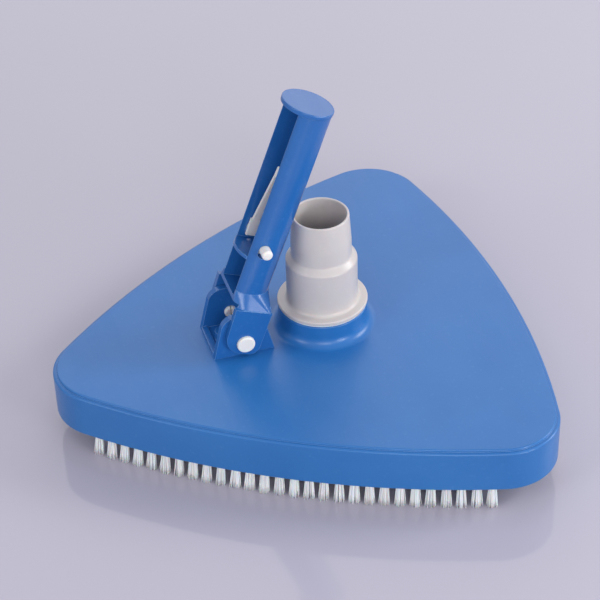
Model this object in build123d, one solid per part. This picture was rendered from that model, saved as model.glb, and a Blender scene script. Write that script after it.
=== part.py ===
from build123d import *
import os
from math import asin, cos, degrees, pi, radians, sin, sqrt

# Manual pool vacuum head: a weighted, rounded-triangle head with a bristle row on each side, a swivelling
# hose connector in the middle and a tilting pole handle with a spring clip.
# Millimetres. +Z is up, the bristle tips stand on z = 0, and the origin is under the middle of the footprint.
# The nose corner points along -X, and the whole head mirrors across the plane y = 0.
# Cuts run 1 mm past the faces they open, and shapes that are joined reach as far into each other.

# ---- Driving dimensions of the triangular body ----
CORNER_DISTANCE = 117.5     # from the middle of the head to the centre of each corner arc
CORNER_RADIUS = 29.5
SIDE_RADIUS = 455.0         # each side is one long, shallow arc
SKIRT_BOTTOM = 13.5         # the bristles' free length
PLATE_TOP = SKIRT_BOTTOM + 24.3
PLATE_THICKNESS = 3.0
SKIRT_THICKNESS = 2.2
RIM_STEP = 1.2              # the flat top stands this far above the shoulder of the skirt
RIM_INSET = 2.0
RIM_ROUND = 1.1
TOP_EDGE_ROUND = 0.8
SHOULDER_Z = PLATE_TOP - RIM_STEP
PLATE_UNDER = PLATE_TOP - PLATE_THICKNESS

# ---- Where the long arcs are centred, and where the middle of the triangle lies in the footprint ----
INNER_REACH = SIDE_RADIUS - CORNER_RADIUS
SIDE_CENTRE = (sqrt(4 * INNER_REACH**2 - 3 * CORNER_DISTANCE**2) - CORNER_DISTANCE) / 2
SIDE_HALF_ANGLE = degrees(asin(CORNER_DISTANCE * sin(radians(60)) / INNER_REACH))
CORNER_HALF_ANGLE = 60 - SIDE_HALF_ANGLE
NOSE_REACH = CORNER_DISTANCE + CORNER_RADIUS
REAR_REACH = SIDE_RADIUS - SIDE_CENTRE
MIDDLE_X = (NOSE_REACH - REAR_REACH) / 2
CORNERS = {"nose": 180, "left": -60, "right": 60}       # directions seen from the middle
SIDES = {"left": -120, "right": 120, "rear": 0}         # outward directions of the sides

# ---- Collar, hose connector and its swivel ----
HOSE_X = MIDDLE_X - 1.6     # the hose axis stands a little towards the nose
COLLAR_TOP = PLATE_TOP + 12.2
COLLAR_RADIUS = 23.5
COLLAR_BORE = 20.08
COLLAR_FILLET = 5.0
COLLAR_EDGE_ROUND = 0.8
WASHER_THICKNESS = 1.0
FLANGE_RADIUS = 23.8
FLANGE_THICKNESS = 2.4
FLANGE_FALL = 0.3           # how much lower the flange's top is at its rim
FLANGE_EDGE_ROUND = 0.6
FLANGE_Z = COLLAR_TOP + WASHER_THICKNESS
FLANGE_FILLET = 1.8
LARGE_STEP_RADIUS = 18.7    # takes a 38 mm hose cuff
LARGE_STEP_TOP = COLLAR_TOP + 28.6
SMALL_STEP_RADIUS = 15.8    # takes a 32 mm hose cuff
SMALL_STEP_Z = LARGE_STEP_TOP + 3.2
SMALL_LAND = 8.0            # straight land at the foot of the small step, before its taper
RIM_Z = SMALL_STEP_Z + 24.0
RIM_RADIUS = 14.8
RIM_EDGE_ROUND = 0.5
RIM_BORE = 13.5
STEP_ROUND = 1.6            # rounds both corners of the shoulder between the steps
SMALL_BORE = 13.9
SPIGOT_RADIUS = 20.0
SPIGOT_BORE = 16.8
BORE_SHOULDER_DROP = 2.0    # the wide bore ends this far below the large step's top
SPIGOT_BOTTOM = PLATE_UNDER - 5.3
GROOVE_TOP = PLATE_UNDER - 0.2
GROOVE_HEIGHT = 2.2
GROOVE_RADIUS = 18.4
RING_RADIUS = 23.2
RING_GAP = 5.0
RING_PLAY = 0.1             # above, below and half of it inside the ring
WASHER_INSET = 0.6          # the washer's rim lies this far inside the collar's
WASHER_PLAY = 0.2

# ---- Brush plate, its throat and the bristle tufts ----
BRUSH_CLEARANCE = 0.2
WEB_BOTTOM = SKIRT_BOTTOM + 1.5
WEB_THICKNESS = 2.8
RIM_BAND_WIDTH = 8.4
RIM_BAND_TOP = SKIRT_BOTTOM + 8.5
THROAT_BORE = 24.0
THROAT_WALL = 2.4
THROAT_TOP = PLATE_UNDER - 0.3
THROAT_LIP_WIDTH = 3.0
THROAT_LIP_ROUND = 1.2
CHANNEL_START = THROAT_BORE + THROAT_WALL + 6.0
CHANNEL_END = 87.0          # short of the corner posts
CHANNEL_WIDTH = 9.0
CHANNEL_DEPTH = 1.0
TUFTS_PER_SIDE = 28
TUFT_INSET = 5.3            # from the outer face of the skirt to the middle of the tufts
TUFT_SPREAD = 13.1          # half the angle of the side arc that carries tufts, in degrees
TUFT_ROOT_RADIUS = 2.1
TUFT_TIP_RADIUS = 3.1
TUFT_LEAN = 1.1             # how far the tip stands outside the root
TUFT_HOLE_TOP = SKIRT_BOTTOM + 6.1
ANCHOR_WIDTH = 0.5
ANCHOR_HEIGHT = 1.4

# ---- Weights, posts and screws ----
POST_BOTTOM = WEB_BOTTOM + WEB_THICKNESS
WEIGHT_BOTTOM = POST_BOTTOM + 0.3
WEIGHT_HEIGHT = 12.0
WEIGHT_INSET = 15.5
WEIGHT_REACH = 100.0
WEIGHT_RADIUS = 38.0
WEIGHT_EDGE = 1.5
WEIGHT_HOLE_RADIUS = 4.6
POST_RADIUS = 4.0
CORNER_POST_REACH = 99.0
SIDE_POST_REACH = 82.0
SCREW_RADIUS = 1.6
SCREW_LENGTH = 14.0
BRACKET_SCREW_LENGTH = 10.0
SCREW_HEAD_RADIUS = 3.4
SCREW_HEAD_HEIGHT = 2.0
SCREW_HEAD_ROUND = 0.7
SCREW_HOLE_PLAY = 0.3
SCREW_SEAT_PLAY = 0.2
SCREW_SEAT_WALL = 2.0
RECESS_LENGTH = 3.6
RECESS_WIDTH = 0.8
RECESS_DEPTH = 1.0

# ---- Handle bracket ----
PIVOT_X = MIDDLE_X - 49.0
PIVOT_HEIGHT = 9.2          # above the flat top
PIVOT_Z = PLATE_TOP + PIVOT_HEIGHT
LUG_OUTER = 14.7
LUG_THICKNESS = 3.5
LUG_BASE = 16.2
LUG_HEAD = 10.2
LUG_TOP = 15.2
LUG_ROUND = 8.0
CURB_HEIGHT = 2.5
CURB_THICKNESS = 3.2
FLOOR_HEIGHT = 1.5
BRACKET_SCREW_X = 8.0
BRACKET_BOSS_RADIUS = 3.6
BRACKET_BOSS_HEIGHT = 6.5

# ---- Handle, in its own frame: axis up +Z, slot towards -X, pivot at x = PIVOT_OFFSET, z = 0 ----
HANDLE_LEAN = 20.6          # degrees from upright, towards the hose connector
PIVOT_OFFSET = 4.3
TUBE_RADIUS = 13.2
CHANNEL_HALF = 9.7
LIP_X = -7.8
LIP_ROUND = 3.5
CAP_RADIUS = 13.6
CAP_BOTTOM = 130.4
CAP_THICKNESS = 2.4
CAP_EDGE_ROUND = 0.5
SHELF_Z = 45.7
SHELF_THICKNESS = 1.8
SHELF_ARC = 15.7            # the shelf's front edge bulges out of the slot
SHELF_ARC_X = 4.4
FLOOR_SHELF_Z = 21.4
FLOOR_SHELF_THICKNESS = 2.0
FLARE_BOTTOM = 19.2
FLARE_TOP = 26.8
FLARE_ROUND_LEFT = 6.8
FLARE_ROUND_RIGHT = 1.5
EAR_OUTER = 18.0
EAR_THICKNESS = 3.0
EAR_LEFT = -10.5            # from the pivot
EAR_RIGHT = 8.6
EAR_SPREAD = 1.0            # the ear's slot-side edge leans out this far by its top
EAR_JOIN = 0.5              # how far the ear runs up into the flare
EAR_BOTTOM = -6.6
EAR_ROUND_LEFT = 9.5
EAR_ROUND_RIGHT = 5.0
FORK_WEB_BOTTOM = 16.5
FORK_WEB_THICKNESS = 3.0

# ---- Pivot pins ----
PIN_RADIUS = 3.0
PIN_RUNNING = 0.08
PIN_HEAD_RADIUS = 4.75
PIN_HEAD_HEIGHT = 1.9
PIN_HEAD_ROUND = 0.9
PIN_BARB_RADIUS = 3.35
PIN_BARB_LENGTH = 1.8
PIN_BARB_CHAMFER = 0.7
PIN_SLOT = 0.5

# ---- Spring clip, in the handle's frame ----
CLIP_CENTRE_X = -1.1
CLIP_FOOT_WIDTH = 5.8
CLIP_LEG_WIDTH = 4.0
CLIP_THICKNESS = 1.7
CLIP_FOOT_Z = 49.5
CLIP_KNEE_Z = 59.2
CLIP_FOOT_Y = 9.15          # outer face of the foot
CLIP_HINGE_Z = 89.5
CLIP_TOP_Z = 95.2
CLIP_TOP_Y = 2.2            # outer face of the leg at the hinge
CLIP_TIP_HALF = 1.4         # half the width of the bow's end
CLIP_TIP_ROUND = 1.3
CLIP_GAP = 0.2
BUTTON_Z = 53.8
BUTTON_RADIUS = 2.8
BUTTON_REACH = 18.5
BUTTON_EDGE_ROUND = 1.3
BUTTON_HOLE_RADIUS = 3.0
BUTTON_HOLE_DROP = 2.0      # the hole is oval, because a button swings down a little as it is pressed in

MIDDLE = Vector(MIDDLE_X, 0, 0)


def polar(angle, reach, z=0.0):
    """The point at that distance from the middle of the head, in that direction."""
    return MIDDLE + Vector(reach * cos(radians(angle)), reach * sin(radians(angle)), z)


def triangle(offset=0.0):
    """The rounded triangle as a face at z = 0, grown by offset: three long arcs and three corner arcs."""
    edges = []
    for angle in CORNERS.values():
        start = angle - CORNER_HALF_ANGLE
        centre = polar(angle, CORNER_DISTANCE)
        edges.append(CenterArc(centre, CORNER_RADIUS + offset, start, 2 * CORNER_HALF_ANGLE))
    for angle in SIDES.values():
        start = angle - SIDE_HALF_ANGLE
        centre = polar(angle, -SIDE_CENTRE)
        edges.append(CenterArc(centre, SIDE_RADIUS + offset, start, 2 * SIDE_HALF_ANGLE))
    return make_face(Wire(edges))


def slab(face, bottom, top):
    """A face at z = 0 made solid from bottom to top."""
    return Pos(0, 0, bottom) * extrude(face, top - bottom, dir=(0, 0, 1))


def rod(x, y, radius, bottom, top):
    """An upright cylinder."""
    return Pos(x, y, (bottom + top) / 2) * Cylinder(radius, top - bottom)


def cross_rod(x, z, radius, y_from, y_to):
    """A cylinder along Y."""
    return Pos(x, (y_from + y_to) / 2, z) * Rot(90, 0, 0) * Cylinder(radius, abs(y_to - y_from))


def block(x_range, y_range, z_range):
    """A box from its ranges."""
    size = [high - low for low, high in (x_range, y_range, z_range)]
    middle = [(high + low) / 2 for low, high in (x_range, y_range, z_range)]
    return Pos(*middle) * Box(*size)


def turned(points, bevels=()):
    """A ring or tube turned about the hose axis from its (radius, z) outline."""
    outline = make_face(Polyline(*[(r, 0, z) for r, z in points], close=True))
    for radius, z, size in bevels:
        corner = outline.vertices().sort_by_distance(Vector(radius, 0, z))[0]
        outline = fillet(corner, size)
    return Pos(HOSE_X, 0, 0) * revolve(outline, Axis.Z)


def post_places():
    """Every screw post of the head: three in the corners, through the weights, and three near the sides."""
    places = [polar(angle, CORNER_POST_REACH) for angle in CORNERS.values()]
    return places + [polar(angle, SIDE_POST_REACH) for angle in SIDES.values()]


def bracket_screw_places():
    return [(PIVOT_X - BRACKET_SCREW_X, 0), (PIVOT_X + BRACKET_SCREW_X, 0)]


def tuft_places(side):
    """(x, y, direction) of each tuft of a side, evenly spaced along its arc."""
    step = 2 * TUFT_SPREAD / (TUFTS_PER_SIDE - 1)
    centre = polar(SIDES[side], -SIDE_CENTRE)
    places = []
    for i in range(TUFTS_PER_SIDE):
        angle = SIDES[side] - TUFT_SPREAD + i * step
        reach = SIDE_RADIUS - TUFT_INSET
        x = centre.X + reach * cos(radians(angle))
        y = centre.Y + reach * sin(radians(angle))
        places.append((x, y, angle))
    return places


def make_top_shell():
    """The moulded top: flat plate, skirt, hose collar and screw posts."""
    skirt = slab(triangle(), SKIRT_BOTTOM, SHOULDER_Z)
    skirt = fillet(skirt.edges().group_by(Axis.Z)[-1], RIM_ROUND)
    plateau = slab(triangle(-RIM_INSET), SHOULDER_Z - 1, PLATE_TOP)
    plateau = fillet(plateau.edges().group_by(Axis.Z)[-1], TOP_EDGE_ROUND)
    shell = skirt + plateau - slab(triangle(-SKIRT_THICKNESS), SKIRT_BOTTOM - 1, PLATE_UNDER)
    foot = COLLAR_RADIUS + COLLAR_FILLET
    collar = turned(
        [(COLLAR_BORE - 1, PLATE_UNDER), (foot, PLATE_UNDER), (foot, PLATE_TOP),
         (COLLAR_RADIUS, PLATE_TOP), (COLLAR_RADIUS, COLLAR_TOP), (COLLAR_BORE - 1, COLLAR_TOP)],
        [(COLLAR_RADIUS, PLATE_TOP, COLLAR_FILLET - 0.01), (COLLAR_RADIUS, COLLAR_TOP, COLLAR_EDGE_ROUND)],
    )
    shell = shell + collar - rod(HOSE_X, 0, COLLAR_BORE, PLATE_UNDER - 1, COLLAR_TOP + 1)
    for place in post_places():
        shell += rod(place.X, place.Y, POST_RADIUS, POST_BOTTOM, PLATE_UNDER + 1)
        shell -= rod(place.X, place.Y, SCREW_RADIUS, POST_BOTTOM - 1, PLATE_UNDER - 2)
    for x, y in bracket_screw_places():
        shell -= rod(x, y, SCREW_RADIUS, PLATE_UNDER - 1, PLATE_TOP + 1)
    return shell


def make_brush_plate():
    """The bottom plate: rim band for the tufts, web, suction throat and water channels."""
    edge = -(SKIRT_THICKNESS + BRUSH_CLEARANCE)
    plate = slab(triangle(edge), SKIRT_BOTTOM, RIM_BAND_TOP)
    inner = triangle(edge - RIM_BAND_WIDTH)
    plate -= slab(inner, SKIRT_BOTTOM - 1, WEB_BOTTOM)
    plate -= slab(inner, WEB_BOTTOM + WEB_THICKNESS, RIM_BAND_TOP + 1)
    throat = THROAT_BORE + THROAT_WALL
    lip = throat + THROAT_LIP_WIDTH
    plate += turned([(THROAT_BORE - 1, SKIRT_BOTTOM), (lip, SKIRT_BOTTOM), (lip, WEB_BOTTOM + 1),
                     (throat, WEB_BOTTOM + 1), (throat, THROAT_TOP), (THROAT_BORE - 1, THROAT_TOP)],
                    [(lip, SKIRT_BOTTOM, THROAT_LIP_ROUND)])
    plate -= rod(HOSE_X, 0, THROAT_BORE, SKIRT_BOTTOM - 1, THROAT_TOP + 1)
    for angle in CORNERS.values():
        groove = block((CHANNEL_START, CHANNEL_END), (-CHANNEL_WIDTH / 2, CHANNEL_WIDTH / 2),
                       (WEB_BOTTOM - 1, WEB_BOTTOM + CHANNEL_DEPTH))
        plate -= Pos(MIDDLE_X, 0, 0) * Rot(0, 0, angle) * groove
    for place in post_places():
        seat_top = SKIRT_BOTTOM + SCREW_HEAD_HEIGHT
        plate += rod(place.X, place.Y, SCREW_HEAD_RADIUS + SCREW_SEAT_WALL, SKIRT_BOTTOM, WEB_BOTTOM + 1)
        plate -= rod(place.X, place.Y, SCREW_RADIUS + SCREW_HOLE_PLAY, SKIRT_BOTTOM - 1, POST_BOTTOM + 1)
        plate -= rod(place.X, place.Y, SCREW_HEAD_RADIUS + SCREW_SEAT_PLAY, SKIRT_BOTTOM - 1, seat_top)
    for side in SIDES:
        for x, y, _ in tuft_places(side):
            plate -= rod(x, y, TUFT_ROOT_RADIUS, SKIRT_BOTTOM - 1, TUFT_HOLE_TOP)
    return plate


def make_tufts(side):
    """One row of tufts, each held in a blind hole by its anchor, flaring and leaning outwards to its tip."""
    root = rod(0, 0, TUFT_ROOT_RADIUS, SKIRT_BOTTOM, TUFT_HOLE_TOP)
    tip = Pos(TUFT_LEAN, 0, 0) * Circle(TUFT_TIP_RADIUS)
    tuft = root + loft([tip, Pos(0, 0, SKIRT_BOTTOM) * Circle(TUFT_ROOT_RADIUS)]) - anchor_blank()
    return Compound(children=[Pos(x, y, 0) * Rot(0, 0, angle) * tuft for x, y, angle in tuft_places(side)])


def anchor_blank():
    """The flat wire that holds a tuft down in its hole, across the hole."""
    half = sqrt(TUFT_ROOT_RADIUS**2 - (ANCHOR_WIDTH / 2) ** 2) - 0.01
    bottom = TUFT_HOLE_TOP - ANCHOR_HEIGHT
    return block((-ANCHOR_WIDTH / 2, ANCHOR_WIDTH / 2), (-half, half), (bottom, TUFT_HOLE_TOP))


def make_anchors():
    """The flat-wire anchors of all the tufts."""
    places = [place for side in SIDES for place in tuft_places(side)]
    return Compound(children=[Pos(x, y, 0) * Rot(0, 0, angle) * anchor_blank() for x, y, angle in places])


def make_weight(angle):
    """A cast ingot that fills a corner of the head, with a hole for the corner post."""
    disc = Pos(*polar(angle, WEIGHT_REACH)) * Circle(WEIGHT_RADIUS)
    ingot = slab(triangle(-WEIGHT_INSET) & disc, WEIGHT_BOTTOM, WEIGHT_BOTTOM + WEIGHT_HEIGHT)
    ingot = chamfer(ingot.edges().group_by(Axis.Z)[-1], WEIGHT_EDGE)
    post = polar(angle, CORNER_POST_REACH)
    top = WEIGHT_BOTTOM + WEIGHT_HEIGHT
    return ingot - rod(post.X, post.Y, WEIGHT_HOLE_RADIUS, WEIGHT_BOTTOM - 1, top + 1)


def screw(x, y, head_z, length):
    """A pan-head screw driven upwards, its head's face at head_z, with a cross recess."""
    head = rod(x, y, SCREW_HEAD_RADIUS, head_z, head_z + SCREW_HEAD_HEIGHT)
    head = fillet(head.edges().group_by(Axis.Z)[0], SCREW_HEAD_ROUND)
    for turn in (0, 90):
        head -= Pos(x, y, head_z) * Rot(0, 0, turn) * Box(RECESS_LENGTH, RECESS_WIDTH, 2 * RECESS_DEPTH)
    return head + rod(x, y, SCREW_RADIUS, head_z + SCREW_HEAD_HEIGHT, head_z + length)


def make_shell_screws():
    return Compound(children=[screw(place.X, place.Y, SKIRT_BOTTOM, SCREW_LENGTH) for place in post_places()])


def make_bracket_screws():
    head_z = PLATE_UNDER - SCREW_HEAD_HEIGHT
    return Compound(children=[screw(x, y, head_z, BRACKET_SCREW_LENGTH) for x, y in bracket_screw_places()])


def make_hose_connector():
    """The stepped, swivelling connector: 32 mm and 38 mm hose steps, flange and grooved spigot."""
    flange_top = FLANGE_Z + FLANGE_THICKNESS
    rim_top = flange_top - FLANGE_FALL
    return turned(
        [(SPIGOT_BORE, SPIGOT_BOTTOM), (SPIGOT_RADIUS, SPIGOT_BOTTOM),
         (SPIGOT_RADIUS, GROOVE_TOP - GROOVE_HEIGHT), (GROOVE_RADIUS, GROOVE_TOP - GROOVE_HEIGHT),
         (GROOVE_RADIUS, GROOVE_TOP), (SPIGOT_RADIUS, GROOVE_TOP), (SPIGOT_RADIUS, FLANGE_Z),
         (FLANGE_RADIUS, FLANGE_Z), (FLANGE_RADIUS, rim_top), (LARGE_STEP_RADIUS, flange_top),
         (LARGE_STEP_RADIUS, LARGE_STEP_TOP), (SMALL_STEP_RADIUS, SMALL_STEP_Z),
         (SMALL_STEP_RADIUS, SMALL_STEP_Z + SMALL_LAND), (RIM_RADIUS, RIM_Z), (RIM_BORE, RIM_Z),
         (SMALL_BORE, SMALL_STEP_Z), (SPIGOT_BORE, LARGE_STEP_TOP - BORE_SHOULDER_DROP)],
        [(FLANGE_RADIUS, FLANGE_Z, FLANGE_EDGE_ROUND), (FLANGE_RADIUS, rim_top, FLANGE_EDGE_ROUND),
         (LARGE_STEP_RADIUS, flange_top, FLANGE_FILLET), (LARGE_STEP_RADIUS, LARGE_STEP_TOP, STEP_ROUND),
         (SMALL_STEP_RADIUS, SMALL_STEP_Z, STEP_ROUND), (RIM_RADIUS, RIM_Z, RIM_EDGE_ROUND),
         (RIM_BORE, RIM_Z, RIM_EDGE_ROUND)],
    )


def make_retaining_ring():
    """A split ring that snaps into the spigot's groove under the top plate."""
    bottom = GROOVE_TOP - GROOVE_HEIGHT + RING_PLAY
    top = GROOVE_TOP - RING_PLAY
    bore = GROOVE_RADIUS + RING_PLAY / 2
    ring = rod(HOSE_X, 0, RING_RADIUS, bottom, top) - rod(HOSE_X, 0, bore, bottom - 1, top + 1)
    half_gap = RING_GAP / 2
    return ring - block((HOSE_X, HOSE_X + RING_RADIUS + 1), (-half_gap, half_gap), (bottom - 1, top + 1))


def make_swivel_washer():
    washer = rod(HOSE_X, 0, COLLAR_RADIUS - WASHER_INSET, COLLAR_TOP, FLANGE_Z)
    return washer - rod(HOSE_X, 0, COLLAR_BORE + WASHER_PLAY, COLLAR_TOP - 1, FLANGE_Z + 1)


def lug_face():
    """A lug's outline, from the pivot: a broad foot that narrows to a round head."""
    outline = make_face(Polyline((-LUG_BASE, 0, -PIVOT_HEIGHT), (-LUG_HEAD, 0, LUG_TOP),
                                 (LUG_HEAD, 0, LUG_TOP), (LUG_BASE, 0, -PIVOT_HEIGHT), close=True))
    return fillet(outline.vertices().group_by(Axis.Z)[-1], LUG_ROUND)


def make_handle_bracket():
    """Two lugs on a low frame, screwed to the top from inside the head."""
    lug = extrude(lug_face(), LUG_THICKNESS, dir=(0, 1, 0))
    inner = LUG_OUTER - LUG_THICKNESS
    bracket = Pos(PIVOT_X, inner, PIVOT_Z) * lug + Pos(PIVOT_X, -LUG_OUTER, PIVOT_Z) * lug
    bracket += block((PIVOT_X - LUG_BASE, PIVOT_X + LUG_BASE), (-inner, inner),
                     (PLATE_TOP, PLATE_TOP + FLOOR_HEIGHT))
    inside = LUG_BASE - CURB_THICKNESS
    for low, high in ((-LUG_BASE, -inside), (inside, LUG_BASE)):
        bracket += block((PIVOT_X + low, PIVOT_X + high), (-inner, inner),
                         (PLATE_TOP, PLATE_TOP + CURB_HEIGHT))
    for x, y in bracket_screw_places():
        bracket += rod(x, y, BRACKET_BOSS_RADIUS, PLATE_TOP, PLATE_TOP + BRACKET_BOSS_HEIGHT)
        bracket -= rod(x, y, SCREW_RADIUS, PLATE_TOP - 1, PLATE_TOP + BRACKET_BOSS_HEIGHT - 1)
    return bracket - cross_rod(PIVOT_X, PIVOT_Z, PIN_RADIUS, -LUG_OUTER - 1, LUG_OUTER + 1)


def make_pivot_pin(side):
    """A push-in pivot pin: domed head outside the ear, shank, and a split barb inside the lug."""
    inner = LUG_OUTER - LUG_THICKNESS
    head = cross_rod(0, 0, PIN_HEAD_RADIUS, EAR_OUTER, EAR_OUTER + PIN_HEAD_HEIGHT)
    head = fillet(head.edges().group_by(Axis.Y)[-1], PIN_HEAD_ROUND)
    barb = cross_rod(0, 0, PIN_BARB_RADIUS, inner - PIN_BARB_LENGTH, inner)
    barb = chamfer(barb.edges().group_by(Axis.Y)[0], PIN_BARB_CHAMFER)
    pin = head + cross_rod(0, 0, PIN_RADIUS, inner, EAR_OUTER) + barb
    pin -= block((-PIN_SLOT / 2, PIN_SLOT / 2), (inner - PIN_BARB_LENGTH - 1, LUG_OUTER),
                 (-PIN_HEAD_RADIUS, PIN_HEAD_RADIUS))
    return Pos(PIVOT_X, 0, PIVOT_Z) * (mirror(pin, Plane.XZ) if side == "left" else pin)


def place_on_handle(shape):
    """Moves a shape from the handle's own frame to where the handle leans."""
    return Pos(PIVOT_X, 0, PIVOT_Z) * Rot(0, HANDLE_LEAN, 0) * Pos(-PIVOT_OFFSET, 0, 0) * shape


def ear_face():
    """An ear's outline in the handle's frame, with a bottom that clears the top plate as it turns."""
    left = PIVOT_OFFSET + EAR_LEFT
    right = PIVOT_OFFSET + EAR_RIGHT
    top = FLARE_BOTTOM + EAR_JOIN
    outline = make_face(Polyline((left - EAR_SPREAD, 0, top), (left, 0, EAR_BOTTOM), (right, 0, EAR_BOTTOM),
                                 (right, 0, top), close=True))
    lower_left = outline.vertices().sort_by_distance(Vector(left, 0, EAR_BOTTOM))[0]
    outline = fillet(lower_left, EAR_ROUND_LEFT)
    lower_right = outline.vertices().sort_by_distance(Vector(right, 0, EAR_BOTTOM))[0]
    return fillet(lower_right, EAR_ROUND_RIGHT)


def channel(bottom, top):
    """The channel's hollow between two heights: parallel sides, round back, open towards the slot."""
    hollow = rod(0, 0, CHANNEL_HALF, bottom, top)
    return hollow + block((-TUBE_RADIUS - 1, 0), (-CHANNEL_HALF, CHANNEL_HALF), (bottom, top))


def make_handle():
    """The pole handle: a slotted tube with an end disc, two shelves, and a fork with two ears."""
    left = PIVOT_OFFSET + EAR_LEFT - EAR_SPREAD
    right = PIVOT_OFFSET + EAR_RIGHT
    section = Circle(TUBE_RADIUS) & Pos(LIP_X + TUBE_RADIUS, 0) * Rectangle(2 * TUBE_RADIUS, 2 * TUBE_RADIUS)
    tube = slab(fillet(section.vertices().group_by(Axis.X)[0], LIP_ROUND), FLARE_TOP - 1, CAP_BOTTOM)
    lower = Pos((left + right) / 2, 0, FLARE_BOTTOM) * Rectangle(right - left, 2 * EAR_OUTER)
    lower = fillet(lower.vertices().group_by(Axis.X)[0], FLARE_ROUND_LEFT)
    lower = fillet(lower.vertices().group_by(Axis.X)[-1], FLARE_ROUND_RIGHT)
    upper = Pos(0, 0, FLARE_TOP) * RectangleRounded(2 * TUBE_RADIUS, 2 * TUBE_RADIUS, TUBE_RADIUS - 0.05)
    flare = loft([lower, upper], ruled=True)
    body = tube + flare - block((-TUBE_RADIUS - 1, LIP_X), (-EAR_OUTER - 1, EAR_OUTER + 1), (0, FLARE_TOP))
    body -= channel(FLOOR_SHELF_Z + FLOOR_SHELF_THICKNESS, CAP_BOTTOM)
    shelf_top = SHELF_Z + SHELF_THICKNESS
    front = rod(SHELF_ARC_X, 0, SHELF_ARC, SHELF_Z, shelf_top) & block(
        (-TUBE_RADIUS, 0), (-CHANNEL_HALF, CHANNEL_HALF), (SHELF_Z, shelf_top))
    body += front + block((-1, 0), (-CHANNEL_HALF, CHANNEL_HALF), (SHELF_Z, shelf_top))
    body += rod(0, 0, CHANNEL_HALF, SHELF_Z, shelf_top)
    gap = EAR_OUTER - EAR_THICKNESS
    body -= block((-2 * TUBE_RADIUS, 2 * TUBE_RADIUS), (-gap, gap), (0, FLOOR_SHELF_Z))
    body += block((right - FORK_WEB_THICKNESS, right), (-gap, gap), (FORK_WEB_BOTTOM, FLOOR_SHELF_Z))
    ear = extrude(ear_face(), EAR_THICKNESS, dir=(0, 1, 0))
    body += Pos(0, gap, 0) * ear + Pos(0, -EAR_OUTER, 0) * ear
    cap = rod(0, 0, CAP_RADIUS, CAP_BOTTOM, CAP_BOTTOM + CAP_THICKNESS)
    body += fillet(cap.edges().filter_by(GeomType.CIRCLE), CAP_EDGE_ROUND)
    for z in (BUTTON_Z, BUTTON_Z - BUTTON_HOLE_DROP):
        body -= cross_rod(CLIP_CENTRE_X, z, BUTTON_HOLE_RADIUS, -TUBE_RADIUS - 1, TUBE_RADIUS + 1)
    body -= block((CLIP_CENTRE_X - BUTTON_HOLE_RADIUS, CLIP_CENTRE_X + BUTTON_HOLE_RADIUS),
                  (-TUBE_RADIUS - 1, TUBE_RADIUS + 1), (BUTTON_Z - BUTTON_HOLE_DROP, BUTTON_Z))
    body -= cross_rod(PIVOT_OFFSET, 0, PIN_RADIUS + PIN_RUNNING, -EAR_OUTER - 1, EAR_OUTER + 1)
    return place_on_handle(body)


def clip_strip(points, width):
    """A strip of the clip: its (y, z) outline, made that wide."""
    outline = make_face(Polyline(*[(0, y, z) for y, z in points], close=True))
    return Pos(CLIP_CENTRE_X - width / 2, 0, 0) * extrude(outline, width, dir=(1, 0, 0))


def make_clip_arm(side):
    """One arm of the clip: a foot beside the channel's wall with the button on it, and a narrower leg."""
    foot_in = CLIP_FOOT_Y - CLIP_THICKNESS
    hinge_in = CLIP_TOP_Y - CLIP_THICKNESS
    top = CLIP_HINGE_Z - CLIP_GAP
    foot = [(foot_in, CLIP_FOOT_Z), (CLIP_FOOT_Y, CLIP_FOOT_Z),
            (CLIP_FOOT_Y, CLIP_KNEE_Z), (foot_in, CLIP_KNEE_Z)]
    leg = [(foot_in, CLIP_KNEE_Z), (CLIP_FOOT_Y, CLIP_KNEE_Z), (CLIP_TOP_Y, top), (hinge_in, top)]
    arm = clip_strip(foot, CLIP_FOOT_WIDTH) + clip_strip(leg, CLIP_LEG_WIDTH)
    button = cross_rod(CLIP_CENTRE_X, BUTTON_Z, BUTTON_RADIUS, (foot_in + CLIP_FOOT_Y) / 2, BUTTON_REACH)
    arm += fillet(button.edges().group_by(Axis.Y)[-1], BUTTON_EDGE_ROUND)
    return place_on_handle(mirror(arm, Plane.XZ) if side == "left" else arm)


def make_clip_bow():
    """The closed end of the clip, where its two arms meet and flex."""
    outline = [(-CLIP_TOP_Y, CLIP_HINGE_Z), (-CLIP_TIP_HALF, CLIP_TOP_Z),
               (CLIP_TIP_HALF, CLIP_TOP_Z), (CLIP_TOP_Y, CLIP_HINGE_Z)]
    bow = clip_strip(outline, CLIP_LEG_WIDTH)
    corners = bow.edges().filter_by(Axis.X).group_by(Axis.Z)[-1]
    return place_on_handle(fillet(corners, CLIP_TIP_ROUND))


def main():
    parts = {
        "top_shell": make_top_shell(),
        "brush_plate": make_brush_plate(),
        "tuft_anchors": make_anchors(),
        "shell_screws": make_shell_screws(),
        "bracket_screws": make_bracket_screws(),
        "hose_connector": make_hose_connector(),
        "retaining_ring": make_retaining_ring(),
        "swivel_washer": make_swivel_washer(),
        "handle_bracket": make_handle_bracket(),
        "handle": make_handle(),
        "clip_bow": make_clip_bow(),
    }
    for side in SIDES:
        parts[f"bristle_tufts_{side}"] = make_tufts(side)
    for corner, angle in CORNERS.items():
        parts[f"weight_{corner}"] = make_weight(angle)
    for side in ("left", "right"):
        parts[f"pivot_pin_{side}"] = make_pivot_pin(side)
        parts[f"clip_arm_{side}"] = make_clip_arm(side)
    os.makedirs("parts", exist_ok=True)
    for name, shape in parts.items():
        export_step(shape, f"parts/{name}.step")


main()
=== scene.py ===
import math
import random

import bpy
from mathutils import Matrix, Vector


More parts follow.
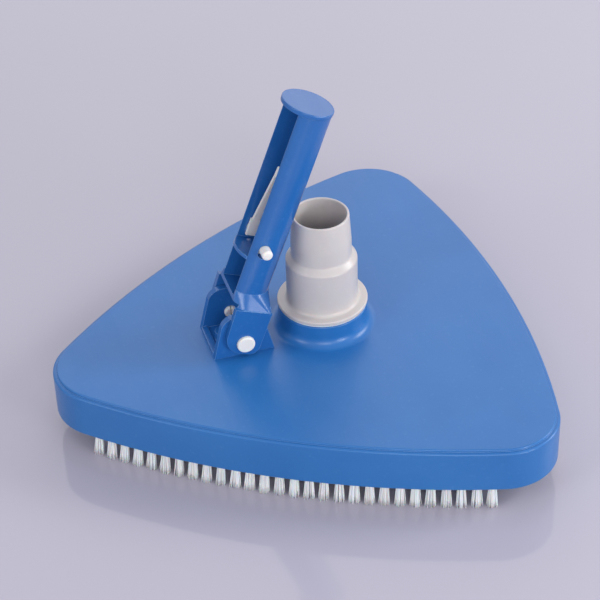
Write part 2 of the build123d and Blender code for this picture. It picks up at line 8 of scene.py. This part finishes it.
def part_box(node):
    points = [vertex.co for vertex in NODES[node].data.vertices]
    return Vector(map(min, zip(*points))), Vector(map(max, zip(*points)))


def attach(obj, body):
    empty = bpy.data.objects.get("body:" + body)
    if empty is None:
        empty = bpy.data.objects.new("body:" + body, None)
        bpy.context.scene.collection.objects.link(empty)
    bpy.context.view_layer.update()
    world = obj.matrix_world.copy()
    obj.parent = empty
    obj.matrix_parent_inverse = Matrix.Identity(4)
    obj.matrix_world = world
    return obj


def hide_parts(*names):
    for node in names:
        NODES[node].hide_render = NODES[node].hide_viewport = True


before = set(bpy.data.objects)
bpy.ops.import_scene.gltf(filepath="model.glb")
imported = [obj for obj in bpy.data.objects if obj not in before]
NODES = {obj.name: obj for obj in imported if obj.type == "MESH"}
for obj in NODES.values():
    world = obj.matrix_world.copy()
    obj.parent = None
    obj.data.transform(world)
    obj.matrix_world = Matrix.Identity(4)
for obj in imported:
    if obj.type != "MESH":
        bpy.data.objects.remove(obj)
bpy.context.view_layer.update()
MM = 0.001
UP = Vector((0, 0, 1))

# ---- Camera ----
CAMERA_AZIMUTH = math.radians(-16.16)
CAMERA_ELEVATION = math.radians(37.48)
CAMERA_ROLL = math.radians(-1.93)
CAMERA_DISTANCE = 1.0127
CAMERA_TARGET = Vector((0.0076, -0.0059, 0.0580))
CAMERA_LENS = 116.8
CAMERA_SENSOR = 36.0

# ---- Bristle tufts: each is a bundle of nylon filaments that fans out towards the floor ----
FILAMENTS = 60
FILAMENT_RADIUS = 0.25 * MM
FILAMENT_SIDES = 5
ROOT_SPREAD = 1.9 * MM
TIP_SPREAD_ALONG = 3.0 * MM  # a tuft's tip is wide along the row and thin across it
TIP_SPREAD_ACROSS = 2.2 * MM
TIP_OUTWARD = 1.2 * MM      # how far the tips bend out beyond the tuft's lean
TIP_JITTER = 0.2 * MM
TUFT_SWAY = 0.25 * MM       # how far a whole tuft's tip strays from its neighbours' line
ROOT_DEPTH = 2.0 * MM       # how far up its hole a filament is drawn
TIP_TRIM = 0.6 * MM         # filaments end unevenly, at most this far above the floor
STRAY_SHARE = 0.015
STRAY_SPREAD = 2.0 * MM
TIP_REACH = 3.9 * MM        # no filament's tip stands further than this from the middle of its tuft's tip
FLARE_POWER = 1.2           # a filament leaves its hole nearly straight and bends more towards its tip
TIP_TAPER = 0.8             # a filament's tip is this much of its radius
BEND_SHARES = (0.0, 0.33, 0.67, 1.0)
SIDES = ("left", "right", "rear")

# ---- Moulded plastic ----
PLASTIC_IOR = 1.52
SPECK_STRENGTH = 0.06
# Strength of the painted edge highlight: how far edges, and inner corners too, are lightened towards the edge
# colour.
PAINTED_EDGE_HIGHLIGHT = 0.75
EDGE_RADIUS = 0.45 * MM
WAVE_HEIGHT = 0.3 * MM
GRAIN_HEIGHT = 0.02 * MM

# ---- Studio ----
FLOOR_HALF = 4.0
FLOOR_ROUGHNESS = 0.08
FLOOR_SPECULAR = 0.38
SURROUND_STRENGTH = 0.72
MIDDLE_OF_HEAD = (0, 0, 0.05)


def node(tree, kind, props=(), **inputs):
    """Adds a shader node. An input given as a socket is linked, and any other is set."""
    made = tree.nodes.new(kind)
    for key, value in dict(props).items():
        setattr(made, key, value)
    for key, value in inputs.items():
        socket = made.inputs[key.replace("_", " ")]
        if isinstance(value, bpy.types.NodeSocket):
            tree.links.new(value, socket)
        else:
            socket.default_value = value
    return made


def new_material(name):
    """An empty node material: (material, tree, principled shader, object coordinates)."""
    material = bpy.data.materials.new(name)
    material.use_nodes = True
    tree = material.node_tree
    shader = tree.nodes["Principled BSDF"]
    coordinates = node(tree, "ShaderNodeTexCoord").outputs["Object"]
    return material, tree, shader, coordinates


def noise(tree, coordinates, scale, detail=2.0, roughness=0.5, stretch=None):
    """A noise value, with its coordinates stretched along an axis if asked."""
    if stretch:
        coordinates = node(tree, "ShaderNodeMapping", Vector=coordinates, Scale=stretch).outputs["Vector"]
    made = node(tree, "ShaderNodeTexNoise", Vector=coordinates, Scale=scale, Detail=detail,
                Roughness=roughness)
    return made.outputs["Fac"]


def spread(tree, value, low, high, to_low=0.0, to_high=1.0):
    """Maps a value's range low to high onto another range, and clamps it."""
    made = node(tree, "ShaderNodeMapRange", Value=value, From_Min=low, From_Max=high,
                To_Min=to_low, To_Max=to_high)
    return made.outputs["Result"]


def mix_colours(tree, factor, first, second):
    made = node(tree, "ShaderNodeMix", {"data_type": "RGBA"})
    for socket, value in ((made.inputs[0], factor), (made.inputs[6], first), (made.inputs[7], second)):
        if isinstance(value, bpy.types.NodeSocket):
            tree.links.new(value, socket)
        else:
            socket.default_value = value
    return made.outputs[2]


def rgb(red, green, blue):
    return (red, green, blue, 1.0)


def moulded_plastic(name, deep, pale, edge, roughness, ripple, subsurface=0.0):
    """Injection moulded plastic: flow mottling, scuffs, ripple, fine grain, and rounded edges with a painted
    highlight that makes them paler.
    """
    material, tree, shader, coordinates = new_material(name)
    flow = spread(tree, noise(tree, coordinates, 22, 4, 0.6), 0.3, 0.7)
    specks = spread(tree, noise(tree, coordinates, 420, 2, 0.5), 0.62, 0.72)
    rounded = node(tree, "ShaderNodeBevel", {"samples": 4}, Radius=EDGE_RADIUS).outputs["Normal"]
    facing = node(tree, "ShaderNodeNewGeometry").outputs["Normal"]
    turn = node(tree, "ShaderNodeVectorMath", {"operation": "DOT_PRODUCT"})
    tree.links.new(rounded, turn.inputs[0])
    tree.links.new(facing, turn.inputs[1])
    # Painted highlight mask: edges and inner corners, where the rounded normal turns away from the true one.
    painted_edge_highlight = spread(tree, turn.outputs["Value"], 0.995, 0.9)
    colour = mix_colours(tree, flow, deep, pale)
    # The pale specks are the plastic's own; the mix after them paints a highlight along edges in the same
    # pale edge colour.
    colour = mix_colours(tree, spread(tree, specks, 0, 1, 0, SPECK_STRENGTH), colour, edge)
    colour = mix_colours(tree, spread(tree, painted_edge_highlight, 0, 1, 0, PAINTED_EDGE_HIGHLIGHT), colour, edge)
    tree.links.new(colour, shader.inputs["Base Color"])
    scuffs = noise(tree, coordinates, 300, 3, 0.7, stretch=(1.0, 0.06, 1.0))
    low, high = roughness
    tree.links.new(spread(tree, scuffs, 0.3, 0.75, low, high), shader.inputs["Roughness"])
    waves = node(tree, "ShaderNodeBump", Strength=ripple, Distance=WAVE_HEIGHT, Normal=rounded,
                 Height=noise(tree, coordinates, 75, 2, 0.5))
    grain = node(tree, "ShaderNodeBump", Strength=0.25, Distance=GRAIN_HEIGHT, Normal=waves.outputs["Normal"],
                 Height=noise(tree, coordinates, 2600, 1, 0.5))
    tree.links.new(grain.outputs["Normal"], shader.inputs["Normal"])
    shader.inputs["IOR"].default_value = PLASTIC_IOR
    shader.inputs["Subsurface Weight"].default_value = subsurface
    shader.inputs["Subsurface Scale"].default_value = 1.5 * MM
    return material


def nylon_bristles(name):
    """Translucent nylon: a little darker towards the roots, as painted shade under the plate, and slightly
    different from filament to filament.
    """
    material, tree, shader, coordinates = new_material(name)
    height = node(tree, "ShaderNodeSeparateXYZ", Vector=coordinates).outputs["Z"]
    along = spread(tree, height, 0.0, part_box("brush_plate")[0].z)
    each = noise(tree, coordinates, 1500, 1, 0.5, stretch=(1.0, 1.0, 0.05))
    # Painted shade: the filaments darken a little from the tips up to the roots under the plate.
    colour = mix_colours(tree, along, rgb(0.93, 0.90, 0.90), rgb(0.90, 0.87, 0.87))
    colour = mix_colours(tree, spread(tree, each, 0.35, 0.65, 0, 0.20), colour, rgb(0.76, 0.73, 0.73))
    tree.links.new(colour, shader.inputs["Base Color"])
    tree.links.new(spread(tree, each, 0.3, 0.7, 0.28, 0.45), shader.inputs["Roughness"])
    ridges = node(tree, "ShaderNodeBump", Strength=0.2, Distance=0.02 * MM,
                  Height=noise(tree, coordinates, 3500, 1, 0.5, stretch=(1.0, 1.0, 0.1)))
    tree.links.new(ridges.outputs["Normal"], shader.inputs["Normal"])
    shader.inputs["Subsurface Weight"].default_value = 0.3
    shader.inputs["Subsurface Scale"].default_value = 1.0 * MM
    return material


def metal(name, dark, light, roughness, scale, depth, metallic=1.0):
    """Metal with a patchy tone: fine and smooth for screws and wire, coarse and pitted for the castings."""
    material, tree, shader, coordinates = new_material(name)
    patches = noise(tree, coordinates, scale, 4, 0.65)
    colour = mix_colours(tree, spread(tree, patches, 0.35, 0.65), dark, light)
    tree.links.new(colour, shader.inputs["Base Color"])
    tree.links.new(spread(tree, patches, 0.3, 0.7, roughness, roughness + 0.2), shader.inputs["Roughness"])
    pits = node(tree, "ShaderNodeBump", Strength=0.5, Distance=depth,
                Height=noise(tree, coordinates, scale * 3, 3, 0.6))
    tree.links.new(pits.outputs["Normal"], shader.inputs["Normal"])
    shader.inputs["Metallic"].default_value = metallic
    return material


def floor_material():
    """A plain, pale, polished table."""
    material, tree, shader, coordinates = new_material("studio_floor")
    tone = noise(tree, coordinates, 3, 2, 0.5)
    colour = mix_colours(tree, tone, rgb(0.445, 0.425, 0.50), rgb(0.465, 0.445, 0.52))
    tree.links.new(colour, shader.inputs["Base Color"])
    shader.inputs["Roughness"].default_value = FLOOR_ROUGHNESS
    shader.inputs["Specular IOR Level"].default_value = FLOOR_SPECULAR
    return material


def dress(material, *names):
    """Gives CAD nodes a material."""
    for name in names:
        for slot in NODES[name].material_slots:
            slot.material = material


def mesh_object(name, vertices, faces, material):
    mesh = bpy.data.meshes.new(name)
    mesh.from_pydata(vertices, [], faces)
    mesh.shade_smooth()
    mesh.materials.append(material)
    made = bpy.data.objects.new(name, mesh)
    bpy.context.scene.collection.objects.link(made)
    return made


def level_middle(points, height):
    """The middle, at z = 0, of the points that lie at a height."""
    level = [p for p in points if abs(p.z - height) < 0.1 * MM]
    x = (min(p.x for p in level) + max(p.x for p in level)) / 2
    y = (min(p.y for p in level) + max(p.y for p in level)) / 2
    return Vector((x, y, 0))


def tuft_columns(side):
    """The middles of each tuft's root and tip, read from the separate solids of the CAD node."""
    mesh = NODES["bristle_tufts_" + side].data
    parent = list(range(len(mesh.vertices)))

    def root(index):
        while parent[index] != index:
            parent[index] = parent[parent[index]]
            index = parent[index]
        return index

    where = {}
    for vertex in mesh.vertices:
        key = tuple(round(value, 6) for value in vertex.co)
        parent[vertex.index] = root(where.setdefault(key, vertex.index))
    for edge in mesh.edges:
        parent[root(edge.vertices[0])] = root(edge.vertices[1])
    groups = {}
    for vertex in mesh.vertices:
        groups.setdefault(root(vertex.index), []).append(vertex.co)
    columns = []
    for points in groups.values():
        tall = max(p.z for p in points)
        columns.append((level_middle(points, tall), level_middle(points, 0.0)))
    return sorted(columns, key=lambda pair: (round(pair[0].y, 5), round(pair[0].x, 5)))


def disc_point(draw, radius):
    """A point spread evenly over a disc."""
    reach = radius * math.sqrt(draw.random())
    angle = draw.uniform(0, 2 * math.pi)
    return Vector((reach * math.cos(angle), reach * math.sin(angle), 0))


def filament(vertices, faces, points, radii):
    """Adds a thin tube through the points to a mesh's lists."""
    start = len(vertices)
    for point, radius in zip(points, radii):
        for i in range(FILAMENT_SIDES):
            angle = 2 * math.pi * i / FILAMENT_SIDES
            vertices.append(point + Vector((radius * math.cos(angle), radius * math.sin(angle), 0)))
    for ring in range(len(points) - 1):
        for i in range(FILAMENT_SIDES):
            j = (i + 1) % FILAMENT_SIDES
            below = start + ring * FILAMENT_SIDES
            above = below + FILAMENT_SIDES
            faces.append((below + i, above + i, above + j, below + j))
    last = start + (len(points) - 1) * FILAMENT_SIDES
    faces.append(tuple(start + i for i in range(FILAMENT_SIDES)))
    faces.append(tuple(last + i for i in reversed(range(FILAMENT_SIDES))))


def make_bristles(side, material):
    """A row of tufts as separate filaments: parallel in their holes and fanned out at their tips."""
    draw = random.Random(SIDES.index(side))
    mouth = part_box("brush_plate")[0].z
    vertices, faces = [], []
    for middle, tip_middle in tuft_columns(side):
        outward = (tip_middle - middle).normalized()
        along = outward.cross(UP)
        sway = disc_point(draw, TUFT_SWAY)
        for _ in range(FILAMENTS):
            root = disc_point(draw, ROOT_SPREAD)
            out = root.dot(outward) / ROOT_SPREAD * TIP_SPREAD_ACROSS + TIP_OUTWARD
            aside = root.dot(along) / ROOT_SPREAD * TIP_SPREAD_ALONG
            tip = outward * out + along * aside + disc_point(draw, TIP_JITTER) + sway
            if draw.random() < STRAY_SHARE:
                tip += disc_point(draw, STRAY_SPREAD)
            if tip.length > TIP_REACH:
                tip *= TIP_REACH / tip.length
            tip += tip_middle - middle
            end = TIP_TRIM * draw.random() ** 2
            height = mouth - end
            points = [middle + root + UP * (mouth + ROOT_DEPTH)]
            for share in BEND_SHARES:
                flare = share ** FLARE_POWER
                points.append(middle + root.lerp(tip, flare) + UP * (mouth - height * share))
            radii = [FILAMENT_RADIUS] * len(BEND_SHARES) + [FILAMENT_RADIUS * TIP_TAPER]
            filament(vertices, faces, points, radii)
    return mesh_object("bristles_" + side, vertices, faces, material)


def area_light(name, place, target, size, power):
    data = bpy.data.lights.new(name, "AREA")
    data.shape = "RECTANGLE"
    data.size, data.size_y = size
    data.energy = power
    made = bpy.data.objects.new(name, data)
    bpy.context.scene.collection.objects.link(made)
    made.location = place
    made.rotation_euler = (Vector(target) - Vector(place)).to_track_quat("-Z", "Y").to_euler()


def add_camera():
    back = Vector((math.sin(CAMERA_AZIMUTH) * math.cos(CAMERA_ELEVATION),
                   -math.cos(CAMERA_AZIMUTH) * math.cos(CAMERA_ELEVATION),
                   math.sin(CAMERA_ELEVATION)))
    level = (-back).cross(UP).normalized()
    rise = level.cross(-back)
    right = level * math.cos(CAMERA_ROLL) + rise * math.sin(CAMERA_ROLL)
    up = rise * math.cos(CAMERA_ROLL) - level * math.sin(CAMERA_ROLL)
    data = bpy.data.cameras.new("camera")
    data.sensor_width = CAMERA_SENSOR
    data.lens = CAMERA_LENS
    made = bpy.data.objects.new("camera", data)
    bpy.context.scene.collection.objects.link(made)
    turn = Matrix((right, up, back)).transposed().to_4x4()
    made.matrix_world = Matrix.Translation(CAMERA_TARGET + back * CAMERA_DISTANCE) @ turn
    bpy.context.scene.camera = made


def add_studio():
    """Floor, pale surroundings, a wide light behind and four smaller ones round the front."""
    corners = [(FLOOR_HALF * x, FLOOR_HALF * y, 0) for x, y in ((-1, -1), (1, -1), (1, 1), (-1, 1))]
    mesh_object("floor", corners, [(0, 1, 2, 3)], floor_material())
    world = bpy.data.worlds.new("studio")
    world.use_nodes = True
    background = world.node_tree.nodes["Background"]
    background.inputs["Color"].default_value = rgb(0.82, 0.82, 0.9)
    background.inputs["Strength"].default_value = SURROUND_STRENGTH
    bpy.context.scene.world = world
    area_light("back", (0.5, 1.6, 1.0), (0, 0, 0), (2.4, 1.4), 10)
    area_light("front", (-0.35, -1.5, 0.8), MIDDLE_OF_HEAD, (0.7, 0.5), 7)
    area_light("front_right", (0.62, -1.25, 0.3), MIDDLE_OF_HEAD, (0.4, 0.4), 6)
    area_light("left", (-1.3, -0.5, 0.8), MIDDLE_OF_HEAD, (0.5, 0.5), 4)
    area_light("right", (1.3, -0.2, 0.7), MIDDLE_OF_HEAD, (0.5, 0.5), 9)


bpy.context.scene.view_settings.view_transform = "Standard"
add_camera()
add_studio()

shell_blue = moulded_plastic("shell_blue", rgb(0.016, 0.136, 0.405), rgb(0.022, 0.154, 0.435),
                             rgb(0.19, 0.37, 0.66), (0.28, 0.38), 0.10)
handle_blue = moulded_plastic("handle_blue", rgb(0.014, 0.112, 0.37), rgb(0.020, 0.130, 0.40),
                              rgb(0.18, 0.38, 0.70), (0.16, 0.26), 0.16)
connector_white = moulded_plastic("connector_white", rgb(0.535, 0.50, 0.485), rgb(0.59, 0.55, 0.53),
                                  rgb(0.84, 0.82, 0.81), (0.28, 0.40), 0.08, subsurface=0.15)
nylon_white = moulded_plastic("nylon_white", rgb(0.78, 0.76, 0.72), rgb(0.84, 0.82, 0.79),
                              rgb(0.9, 0.9, 0.88), (0.30, 0.42), 0.08, subsurface=0.2)
steel = metal("stainless_steel", rgb(0.45, 0.45, 0.46), rgb(0.62, 0.62, 0.63), 0.28, 900, 0.01 * MM)
iron = metal("painted_cast_iron", rgb(0.03, 0.03, 0.032), rgb(0.06, 0.06, 0.062), 0.55, 260, 0.15 * MM, 0.3)
bristle = nylon_bristles("bristle_nylon")

dress(shell_blue, "top_shell", "brush_plate")
dress(handle_blue, "handle", "handle_bracket")
dress(connector_white, "hose_connector")
dress(nylon_white, "pivot_pin_left", "pivot_pin_right", "clip_bow", "clip_arm_left", "clip_arm_right",
      "retaining_ring", "swivel_washer")
dress(steel, "tuft_anchors", "shell_screws", "bracket_screws")
dress(iron, "weight_nose", "weight_left", "weight_right")
for side in SIDES:
    piece = make_bristles(side, bristle)
    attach(piece, "head")
    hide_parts("bristle_tufts_" + side)
